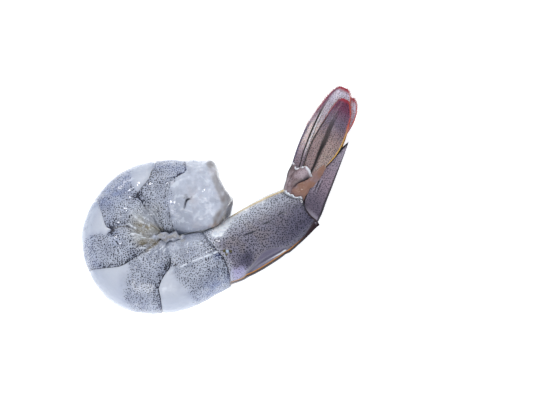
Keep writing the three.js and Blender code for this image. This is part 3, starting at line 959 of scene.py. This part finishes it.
shell_paint, shell_shader = paint("tail_shell", WET_SHELL)
where = object_places(shell_shader)
share, turn, keel, dent, lip, groove, rim, margin, soft, *spotted = marks_of(where, SHELL_MARKS)
dash, bead, olive, smudge, lilac, sheen, scallop, under = spotted
low, far = rising(turn, 0.12, 0.45), rising(share, 0.3, 0.95)
corner = rising(share - turn * 1.4, 0.74, 0.83)
streaked = rising(mottle(where, 0.0008, 3), 0.43, 0.54)
dotted = wavy(where, 0.002, 0.0008)
# Fewer spots where the painted sheen lies.
smooth = (1 - dent) * (1 - soft) * (1 - margin) * (1 - sheen * 0.85)
large = spots(dotted, 0.00056, rim * 0.5 + 0.285 - lilac * 0.12, 0.05)
small = spots(dotted, 0.00036, 0.2, 0.09)
tone = layered(SHELL_PLUM, [
    (SHELL_BROWN, rising(mottle(where, 0.003), 0.4, 0.65) * 0.45),
    # Darker towards the rim and most beside the keel, lighter towards the belly side: partly the shell's own
    # colour, partly painted shade and painted light.
    (SHELL_DARK, far * 0.75),
    (SHELL_DEEP, (1 - low) * far * 0.7),
    (SHELL_PALE, rising(turn, 0.48, 0.78) * (1 - share * 0.45)),
    (SHELL_DEEP, smudge * 0.9),
    (SHELL_LILAC, lilac * 0.9),
    # Painted sheen on the belly side near the front.
    (SHELL_PALE_AND_SHEEN, rising(turn, 0.62, 0.76) * (1 - rising(share, 0.2, 0.6))),
    (SHELL_PALE, (1 - rising(share, 0.0, 0.06)) * 0.5),
    # Painted sheen patches.
    (SHELL_PALE_AND_SHEEN, sheen * 0.8),
    (DENT_LAVENDER, dent * 0.9),
    # Painted shade in the front of the dent.
    (SHELL_DEEP, dent * (1 - rising(share, 0.12, 0.32)) * 0.6),
    (PIGMENT, rising(large * smooth + small * smooth * 0.15, 0.0, 1.0)),
    # Painted white glint streaks in the sheen.
    (SHELL_HIGHLIGHT, rising(sheen * streaked, 0.2, 0.7)),
    # Painted shade along the dent's dark line, and a painted white highlight along its crest.
    (SHELL_DEEP, groove * 0.9),
    (SHELL_HIGHLIGHT, rising(lip, 0.3, 0.9)),
    (PIGMENT, rising(dash, 0.2, 0.8)),
    (KEEL_MAROON, rising(rim, 0.1, 0.6) * (1 - rising(turn, 0.2, 0.5))),
    (KEEL_MAROON, corner),
    (PIGMENT, under),
    (mixed(KEEL_GOLD, KEEL_MAROON, rising(share, 0.62, 0.85)), rising(keel, 0.2, 0.3)),
    (KEEL_MAROON, rising(keel, 0.42, 0.55)),
    (MARGIN_YELLOW, margin),
    (SHELL_OLIVE, rising(olive, 0.2, 0.6)),
    (SHELL_BEAD, rising(bead, 0.3, 0.7)),
    (SHELL_PALE_AND_SHEEN, scallop),
    (MEMBRANE, soft),
])
feed(shell_shader, {
    "Base Color": tone,
    "Roughness": mottle(where, 0.0008) * 0.2 + 0.25 + corner * 0.35,
    "Coat Weight": (1 - (1 - low) * far * 0.85) * (1 - corner),
    "Normal": film(mottle(where, 0.0007, 3) - large * 0.25, 0.7, 0.00014),
})
shell.data.materials.append(shell_paint)
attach(shell, "root")
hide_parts("tail_segment")

# ---- Telson and the muscle under it --------------------------------------------------------------
# The spike in the middle of the tail fan: a hard, grooved plate that ends in a sharp point. The
# muscle that works the fan shows under it as a bare, brownish wedge.

FAN_ROOT = Vector((33.0, 7.6, 6.9))
FAN_HEADING = math.radians(63)
FAN_RISE = math.radians(2)
FAN_ROLL = math.radians(20)
fan_forward = Vector((
    math.cos(FAN_HEADING) * math.cos(FAN_RISE),
    math.sin(FAN_HEADING) * math.cos(FAN_RISE),
    math.sin(FAN_RISE),
))
fan_out = Vector((math.sin(FAN_HEADING), -math.cos(FAN_HEADING), 0))
fan_up = fan_out.cross(fan_forward)
fan_back = fan_out * math.cos(FAN_ROLL) + fan_up * math.sin(FAN_ROLL)
fan_side = fan_up * math.cos(FAN_ROLL) - fan_out * math.sin(FAN_ROLL)


def fan_point(forward, side, back):
    return FAN_ROOT + fan_forward * forward + fan_side * side + fan_back * back


rim_centre, rim_back, _, _, _ = section_at(RIM_PLACE)
rim_normal = (ahead_at(RIM_PLACE) - rim_back * RIM_SLOPE).normalized()


def rim_distance(side, back):
    """How far along the fan the shell's rim lies there."""
    return (rim_centre - fan_point(0, side, back)).dot(rim_normal) / fan_forward.dot(rim_normal)


# Profile of the telson: (forward, its ridge, its side margins, half width), in the fan's frame.
TELSON = [
    (-2.0, 5.6, 1.6, 2.6), (1.5, 5.5, 1.0, 3.5), (4.7, 5.0, 0.8, 3.4), (8.8, 4.5, 1.0, 2.9),
    (13.0, 3.9, 1.7, 2.2), (16.5, 3.4, 2.2, 1.5), (19.2, 3.0, 2.5, 0.8), (21.0, 2.7, 2.68, 0.04),
]
ROOT_DEPTH = 0.9  # how far the fan's roots reach in behind the rim
TELSON_LENGTH = 21.0
TELSON_ROWS = 130
TELSON_COLUMNS = 84
TELSON_MARKS = ("along", "edge", "pleat", "crest")


def telson_shape(row, column):
    share = row / (TELSON_ROWS - 1)
    angle = column / TELSON_COLUMNS * 2 * math.pi
    lift, aside = math.cos(angle), math.sin(angle)
    forward = lerp(-2, TELSON_LENGTH, share)
    ridge_back, margin_back, half = spline(TELSON, forward)
    crest = bell(aside, 0.12) if lift > 0 else 0
    side = half * abs(aside) ** 0.9 * (1 if aside > 0 else -1)
    if lift > 0:
        back = margin_back + (ridge_back - margin_back) * max(1 - math.hypot(aside, 0.04), 0) ** 0.65
        slant = (forward - 6.5) / 2.6
        fold = abs(aside) - 0.93 - 0.04 * slant
        # The pleats carry a painted highlight, and the furrows painted shade.
        pleats = (bell(fold, 0.04) + bell(fold + 0.14, 0.04)) * bell(slant, 0.8)
        furrows = (bell(fold + 0.07, 0.035) + bell(fold + 0.21, 0.04)) * bell(slant, 0.8)
        back += 0.16 * (pleats - furrows)
    else:
        back = margin_back + 0.5 * lift * min(half, 1)
        pleats = furrows = 0
    if row in (0, TELSON_ROWS - 1):
        back, side = margin_back, 0
    start_at = rim_distance(side, back) - ROOT_DEPTH
    point = fan_point(lerp(start_at, TELSON_LENGTH, share), side, back)
    edge = bell(back - margin_back, 0.3)
    return point, (share, edge, min(pleats, 1), max(crest, 0.75 * min(furrows, 1)))


telson = skin("telson_spike", TELSON_ROWS, TELSON_COLUMNS, telson_shape, TELSON_MARKS)

TELSON_PLUM = colour(147, 129, 144)
TELSON_DEEP = colour(100, 90, 108)
TELSON_PALE = colour(168, 160, 178)
TELSON_EDGE = colour(24, 18, 28)
WET_FAN = dict(WET_SHELL, **{"Coat Weight": 0.35})
telson_paint, telson_shader = paint("telson", WET_FAN)
where = object_places(telson_shader)
along, edge, pleat, crest = marks_of(where, TELSON_MARKS)
dark_crest = rising(crest, 0.1, 0.6)
tone = layered(TELSON_DEEP, [
    (TELSON_PLUM, rising(along, 0.15, 0.5)),
    (TELSON_PALE, rising(along, 0.5, 0.85) * 0.7),
    # Painted highlight along the pleats at the base.
    (TELSON_PALE, pleat * 0.8),
    (PIGMENT, spots(wavy(where, 0.002, 0.0006), 0.00052, 0.26, 0.08) * 0.75),
    (TELSON_PALE, 1 - rising(along, 0.04, 0.1)),
    # Dark along the ridge, and painted shade in the furrows beside the pleats.
    (TELSON_EDGE, dark_crest * 0.85),
    (TELSON_EDGE, rising(edge, 0.2, 0.7)),
    (TELSON_EDGE, rising(along, 0.9, 1.0)),
])
feed(telson_shader, {
    "Base Color": tone,
    "Roughness": mottle(where, 0.0007) * 0.2 + 0.25 + (dark_crest + edge) * 0.4,
    "Coat Weight": (1 - (dark_crest + edge)) * 0.35,
    "Normal": film(mottle(where, 0.0008, 3), 0.4, 0.00012),
})
telson.data.materials.append(telson_paint)
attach(telson, "root")
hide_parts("telson")

# Path of the muscle on each side: (forward, back, side, half width, half thickness).
MUSCLE = [
    (-1.5, -1.6, 2.4, 2.2, 1.7), (2.5, -1.3, 2.7, 2.5, 1.7), (5.1, -0.6, 2.9, 2.0, 1.4),
    (7.5, 0.2, 3.0, 1.5, 1.2), (10.9, 0.8, 3.0, 1.1, 0.8), (14.5, 1.3, 2.9, 0.3, 0.3),
]
MUSCLE_ROWS = 80
MUSCLE_COLUMNS = 56
MUSCLE_MARKS = ("along",)


def fan_tube(path, hand, share, angle, wide):
    """A place on a tube whose root reaches in behind the rim: how far along the fan, aside and back."""
    path_back, path_side, half, thick = spline(path, lerp(path[0][0], path[-1][0], share))
    side = hand * (path_side + thick * math.sin(angle) * wide)
    back = path_back + half * math.cos(angle) * wide
    return lerp(rim_distance(side, back) - ROOT_DEPTH, path[-1][0], share), side, back


def muscle(name, hand):
    def shape(row, column):
        share = row / (MUSCLE_ROWS - 1)
        angle = column / MUSCLE_COLUMNS * 2 * math.pi
        wide = 0 if row in (0, MUSCLE_ROWS - 1) else 1
        point = fan_point(*fan_tube(MUSCLE, hand, share, angle, wide))
        lump = 0.3 * bumps(point, 1.5) + 0.1 * bumps(point, 0.6)
        point += (fan_side * hand * math.sin(angle) + fan_back * math.cos(angle)) * lump * wide
        return point, (share,)

    return skin(name, MUSCLE_ROWS, MUSCLE_COLUMNS, shape, MUSCLE_MARKS)


MUSCLE_BROWN = colour(140, 103, 88)
MUSCLE_PINK = colour(142, 120, 126)
muscle_paint, muscle_shader = paint("fan_muscle", dict(WET_MEAT, **{"Coat Weight": 0.4}))
where = object_places(muscle_shader)
along, = marks_of(where, MUSCLE_MARKS)
tone = layered(MUSCLE_PINK, [
    (MUSCLE_BROWN, rising(mottle(where, 0.003), 0.25, 0.55)),
    (MUSCLE_PINK, 1 - rising(along, 0.0, 0.3)),
])
feed(muscle_shader, {
    "Base Color": tone,
    "Roughness": mottle(where, 0.0007) * 0.2 + 0.38,
    "Normal": film(mottle(where, 0.0009, 3), 0.3, 0.00016),
})
for name, hand in (("fan_muscle_right", 1), ("fan_muscle_left", -1)):
    meat = muscle(name, hand)
    meat.data.materials.append(muscle_paint)
    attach(meat, "root")

# ---- Protopods -----------------------------------------------------------------------------------
# The two stout limbs that carry the fan's blades: a shell cup on each side of the telson, narrow
# where it is hinged to the rim, with a pale, lobed far rim that the blades come out of.

# Path of a limb: (forward, back, side, half width, half thickness).
LIMB = [
    (-1.5, -3.6, 2.6, 1.5, 1.2), (1.5, -4.1, 3.0, 1.6, 1.3), (3.8, -4.3, 3.4, 1.7, 1.4),
    (6.2, -3.7, 3.8, 2.7, 1.5), (8.9, -3.1, 4.0, 3.3, 1.6),
]
# Far rim: how much farther it reaches, by its place across the limb from -1 to 1.
LIMB_RIM = [(-1, 0.7), (-0.6, 0.3), (-0.25, -0.7), (0.05, 0.1), (0.4, 0.6), (0.7, 0.2), (1, -0.9)]
LIMB_ROWS = 76
LIMB_FOLD_ROWS = 12  # of the rim's inner side
LIMB_COLUMNS = 84
LIMB_MARKS = ("lobes", "edge")


def limb(name, hand):
    def shape(row, column):
        share = min(row / (LIMB_ROWS - LIMB_FOLD_ROWS), 1)
        inward = max(row - (LIMB_ROWS - LIMB_FOLD_ROWS), 0) / (LIMB_FOLD_ROWS - 1)
        angle = column / LIMB_COLUMNS * 2 * math.pi
        lift, aside = math.cos(angle), math.sin(angle)
        wide = (1 - inward) * (1 + 0.06 * bell(1 - share, 0.05)) if row else 0
        forward, side, back = fan_tube(LIMB, hand, share, angle, wide)
        reach = spline(LIMB_RIM, lift)[0] + 0.05 * math.sin(19 * lift) * ease(aside + 0.5)
        forward += reach * ease((share - 0.55) / 0.45) * (1 - inward) - 1.1 * ease(inward * 2.5)
        point = fan_point(forward, side, back)
        if row and inward < 1:
            point += fan_side * hand * 0.22 * bumps(point, 1.8)
        lobes = bell((1 - share) * 10, 0.7) * (1 - inward)
        fold = bell(lift + 0.3 - 0.25 * (1 - share), 0.06) * ease((share - 0.15) * 4)
        point -= fan_side * hand * 0.25 * fold
        edge = max(bell(1 - abs(lift), 0.2 if lift > 0 else 0.38), 0.5 * fold)
        return point, (lobes, edge * (1 - 0.7 * lobes))

    return skin(name, LIMB_ROWS, LIMB_COLUMNS, shape, LIMB_MARKS)


LIMB_MAUVE = colour(169, 152, 161)
LIMB_BROWN = colour(118, 98, 102)
LOBE_WHITE = colour(226, 228, 238)
limb_paint, limb_shader = paint("limb", WET_FAN)
where = object_places(limb_shader)
lobes, edge = marks_of(where, LIMB_MARKS)
tone = layered(LIMB_MAUVE, [
    (LIMB_BROWN, rising(mottle(where, 0.0022, 3), 0.4, 0.62)),
    (PIGMENT, spots(wavy(where, 0.002, 0.0006), 0.0006, 0.17, 0.08) * 0.5),
    (LOBE_WHITE, rising(lobes, 0.3, 0.8) * rising(mottle(where, 0.0007), 0.38, 0.5)),
    (TELSON_EDGE, edge),
])
feed(limb_shader, {
    "Base Color": tone,
    "Roughness": mottle(where, 0.0007) * 0.2 + 0.25 + edge * 0.5,
    "Coat Weight": (1 - edge) * 0.35,
    "Normal": film(mottle(where, 0.0008, 3), 0.4, 0.00012),
})
for name, node, hand in (("limb_right", "protopod_right", 1), ("limb_left", "protopod_left", -1)):
    made = limb(name, hand)
    made.data.materials.append(limb_paint)
    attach(made, "root")
    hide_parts(node)

# ---- Blades of the tail fan ----------------------------------------------------------------------
# Two thin, stiff blades on each limb, the inner one over the outer. A rib runs down the middle of
# each, fine ribs beside it, and a fringe of short red bristles edges their tips.

# Outlines of the inner and the outer blades: where they start, length and width in mm, shares of the width
# and the length, and by the share along them how far they bow aside and where the main rib lies.
ENDOPOD = {
    "start": 9.2, "length": 20.9, "width": 6.9, "root": 0.6, "tip": 0.45, "drift": -0.1, "spare": 0.09,
    "bow": [(0, 0), (0.3, 0.2), (0.65, 0.6), (0.85, 0.5), (1, 0.1)],
    "rib": [(-0.1, -0.2), (0.05, -0.15), (0.21, 0.0), (0.33, 0.06), (0.47, 0.13), (0.58, 0.24), (0.73, 0.3),
            (1.0, 0.3)],
}
EXOPOD = {
    "start": 9.2, "length": 24.2, "width": 7.6, "root": 0.5, "tip": 0.62, "drift": 0.1, "spare": 0,
    "bow": [(0, -0.1), (0.15, -0.1), (0.3, 0), (0.45, 0.2), (0.6, 0.5), (0.75, 0.7), (0.87, 0.5), (1, 0)],
    "rib": [(-0.1, -0.15), (0.02, -0.07), (0.14, 0.2), (0.25, 0.32), (0.47, 0.52), (0.71, 0.73), (1.0, 0.85)],
}
# Name, node, outline, hand, side and back of the inner edge, the angle that the blade hangs down, and
# the shares of its length where the bristles of its two edges begin.
BLADES = [
    ("inner_blade_right", "endopod_right", ENDOPOD, 1, 3.1, 2.3, 74, (0.6, 0.7)),
    ("outer_blade_right", "exopod_right", EXOPOD, 1, 2.2, -1.1, 78, (0.7, 0.35)),
    ("inner_blade_left", "endopod_left", ENDOPOD, -1, 3.9, -0.7, 94, (0.8, 0.8)),
    ("outer_blade_left", "exopod_left", EXOPOD, -1, 2.8, -1.0, 96, (0.8, 0.8)),
]
TIP_ROUNDNESS = 2.2
BLADE_THICKNESS = 0.5
BLADE_EDGE = 0.16
BLADE_CUP = 0.5
BLADE_ROOT = 1.2  # how far a blade reaches into its limb
BLADE_ROWS = 170
FACE_COLUMNS = 44
RIB_HEIGHT = 0.1
BLADE_MARKS = ("along", "across", "rib")
BRISTLE_SPACING = 0.09
BRISTLE_LENGTH = 0.8
BRISTLE_THICKNESS = 0.1
BRISTLE_TIP_RADIUS = 0.008
BRISTLES_END = 0.992


def blade_place(stance, share, spread, lift):
    """A point of the blade: share along it, spread across it from -1 to 1, lift off its middle layer."""
    shape, hand, side, back, swing = stance
    opening = math.sin(min(max(share, 0) / shape["tip"], 1) * math.pi / 2)
    past_tip = min(max((share - shape["tip"]) / (1 - shape["tip"]), 0), 1)
    closing = math.sqrt(1 - past_tip**TIP_ROUNDNESS)
    half = 0.5 * shape["width"] * lerp(shape["root"], 1, opening) * closing
    half *= 1 + shape["spare"] * (1 - spread) * bell(share - 0.3, 0.25)
    middle = shape["width"] * (0.5 - shape["drift"] * share**2) - spline(shape["bow"], share)[0]
    chord = middle + half * spread
    rise = BLADE_CUP * (1 - spread**2) * min(opening, closing) + lift
    across, down = math.cos(math.radians(swing)), math.sin(math.radians(swing))
    return fan_point(
        shape["start"] + share * shape["length"],
        hand * (side + across * chord + down * rise),
        back - down * chord + across * rise,
    )


def blade(name, stance):
    columns = 2 * FACE_COLUMNS
    shape = stance[0]

    def point(row, column):
        share = lerp(-BLADE_ROOT / shape["length"], 0.99, math.sin(row / (BLADE_ROWS - 1) * math.pi / 2))
        on_top = column < FACE_COLUMNS
        step = column if on_top else columns - 1 - column
        spread = -math.cos(step / (FACE_COLUMNS - 1) * math.pi)
        thick = lerp(BLADE_THICKNESS, BLADE_EDGE, spread**2) / 2
        thick *= lerp(1, 0.5, ease((share - 0.5) * 2))
        rib = spread - spline(shape["rib"], share)[0]
        fade = ease((0.74 - share) * 2.5)
        twin = bell(rib - 0.07, 0.045) + bell(rib + 0.07, 0.045) - 0.8 * bell(rib, 0.035)
        ribs = 0.03 * math.cos(spread * 40) * ease((1 - share) * 4)
        lift = (thick + RIB_HEIGHT * twin * fade + ribs) * (1 if on_top else -1)
        if row in (0, BLADE_ROWS - 1):
            spread, lift = 0, 0
        return blade_place(stance, share, spread, lift), (share, spread, rib)

    return skin(name, BLADE_ROWS, columns, point, BLADE_MARKS)


def fringe(name, stance, begins):
    """Short tapering bristles along the blade's far margin, joined in one mesh."""
    draw = random.Random(name)
    hairs = bmesh.new()
    tip_layer = hairs.verts.layers.float.new("tip")
    for edge, begin in zip((-1, 1), begins):
        share = begin
        while share < BRISTLES_END:
            inner = blade_place(stance, share, edge * 0.8, 0)
            root = blade_place(stance, share, edge * 0.985, 0)
            ahead = blade_place(stance, min(share + 0.01, 1), edge * 0.985, 0)
            step = (ahead - root).length / 0.01
            out = (root - inner).normalized()
            onward = (ahead - root).normalized()
            lean = draw.uniform(0.3, 1.6)
            direction = (out + onward * lean + fan_side * draw.uniform(-0.15, 0.15)).normalized()
            size = BRISTLE_LENGTH * draw.uniform(0.3, 1.3) * ease((share - begin) * 6 + 0.25) * MM
            base = (root - MIDDLE) * MM
            turn = direction.to_track_quat("Z", "Y").to_matrix().to_4x4()
            made = bmesh.ops.create_cone(
                hairs, segments=3, radius1=BRISTLE_THICKNESS * MM / 2, radius2=BRISTLE_TIP_RADIUS * MM,
                depth=size, cap_ends=True, matrix=Matrix.Translation(base + direction * size / 2) @ turn,
            )
            for vert in made["verts"]:
                vert[tip_layer] = 1 if (vert.co - base).dot(direction) > size / 2 else 0
            share += BRISTLE_SPACING / max(step, 1)
    return finished(name, hairs)


BLADE_BROWN = colour(150, 127, 129)
BLADE_TAN = colour(168, 147, 143)
BLADE_DUSK = colour(112, 98, 120)
BLADE_PINK = colour(148, 130, 144)
BLADE_ROSE = colour(218, 198, 198)
BLADE_LAVENDER = colour(212, 204, 221)
BLADE_WHITE = colour(228, 222, 230)
BLADE_VIOLET = colour(62, 54, 92)
BLADE_WINE = colour(110, 36, 74)
BLADE_RIB = colour(18, 8, 12)
EDGE_YELLOW = colour(214, 170, 84)
EDGE_ORANGE = colour(222, 92, 52)
EDGE_RED = colour(150, 38, 56)
WET_BLADE = {
    "IOR": 1.45,
    "Specular IOR Level": 0.35,
    "Subsurface Weight": 0.15,
    "Subsurface Scale": 0.0004,
    "Coat Roughness": 0.1,
    "Coat IOR": 1.35,
}


def blade_paint(name, inner):
    made, shader = paint(name, WET_BLADE)
    where = object_places(shader)
    along, across, rib = marks_of(where, BLADE_MARKS)
    seed = 0.0 if inner else 3.0
    lengthwise = where.node("ShaderNodeCombineXYZ", {}, {0: across * 16, 1: along * 7, 2: seed})
    streaks = mottle(lengthwise, 1, 3)
    off = abs(rib)
    rim = rising(abs(across), 0.925, 0.985)
    before_tip = 1 - rising(along, 0.5, 0.8)
    if inner:
        half_rib = rising(along, 0.2, 0.5) * 0.05 + 0.05
        tone = layered(BLADE_BROWN, [
            (BLADE_DUSK, rising(along, 0.4, 0.7)),
            (BLADE_TAN, (1 - rising(rib, -0.35, 0.0)) * (1 - rising(along, 0.15, 0.6))),
            (BLADE_WINE, rising(along, 0.64, 0.9) * rising(streaks, 0.15, 0.5) * 0.85),
            (BLADE_RIB, (1 - rising(off, 0.08, 0.26)) * before_tip * 0.6),
            (BLADE_RIB, rising(across, 0.8, 0.93) * (1 - rising(along, 0.62, 0.85)) * 0.9),
        ])
    else:
        half_rib = 0.03
        second = rib + 0.33 - along * 0.26  # the finer rib beside the main one
        between = rising(second, -0.04, 0.08) * (1 - rising(rib, -0.1, -0.02))
        tone = layered(BLADE_PINK, [
            (BLADE_ROSE, rising(along, 0.12, 0.35)),
            (BLADE_LAVENDER, rising(along, 0.4, 0.8)),
            (BLADE_DUSK, rising(along, 0.45, 0.62) * (1 - rising(along, 0.78, 0.9)) * 0.4),
            (BLADE_WHITE, between * rising(along, 0.1, 0.3) * 0.8),
            (BLADE_VIOLET, rising(across, 0.74, 0.92) * (1 - rising(along, 0.4, 0.65)) * 0.9),
            (BLADE_WINE, rising(across, 0.55, 0.9) * rising(along, 0.45, 0.75) * 0.9),
            (BLADE_WINE, rising(along, 0.86, 1.0) * rising(streaks, 0.4, 0.6) * 0.7),
            (BLADE_RIB, (1 - rising(abs(second), 0.01, 0.05)) * before_tip * 0.65),
        ])
    ridge = (1 - rising(off, half_rib, half_rib * 2 + 0.04)) * (1 - rising(along, 0.6, 0.85))
    sunny = (1 - rising(across, -0.97, -0.8)) * rising(along, 0.5, 0.7)
    tone = layered(tone, [
        (BLADE_RIB, rising(streaks, 0.48, 0.68) * (0.45 if inner else 0.3)),
        (BLADE_RIB, spots(where, 0.00052, 0.25, 0.07) * (0.7 if inner else 0.6)),
        (BLADE_RIB, ridge * (1 - rising(along, 0.3, 0.5) * 0.5) if inner else ridge),
        (EDGE_RED, rim * rising(along, 0.5, 0.8)),
        (EDGE_RED, rising(along, 0.93, 0.98)),
        (EDGE_ORANGE, sunny * rising(streaks, 0.35, 0.6) * 0.8),
    ])
    if inner:
        yellow = (1 - rising(across, -0.985, -0.93)) * rising(along, 0.1, 0.25)
        tone = mixed(tone, EDGE_YELLOW, yellow * (1 - rising(along, 0.55, 0.75)))
    matt = where.math("MAXIMUM", rim, rising(along, 0.7, 0.88) * 0.7)
    feed(shader, {
        "Base Color": tone,
        "Roughness": mottle(where, 0.0007) * 0.2 + 0.3 + matt * 0.4,
        "Coat Weight": (1 - ridge) * (1 - matt) * 0.35,
        "Normal": film(streaks, 0.5, 0.00012),
    })
    return made


inner_paint, outer_paint = blade_paint("inner_blade", True), blade_paint("outer_blade", False)
BRISTLE_RED = colour(122, 26, 44)
BRISTLE_TIP = colour(204, 84, 70)
bristle_paint, bristle_shader = paint("bristles", {"Roughness": 0.35, "Coat Weight": 0.3})
tip, = marks_of(object_places(bristle_shader), ("tip",))
feed(bristle_shader, {"Base Color": mixed(BRISTLE_RED, BRISTLE_TIP, tip)})
for name, node, *stance, begins in BLADES:
    made = blade(name, stance)
    made.data.materials.append(inner_paint if stance[0] is ENDOPOD else outer_paint)
    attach(made, "root")
    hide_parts(node)
    hairs = fringe(name + "_fringe", stance, begins)
    hairs.data.materials.append(bristle_paint)
    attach(hairs, "root")
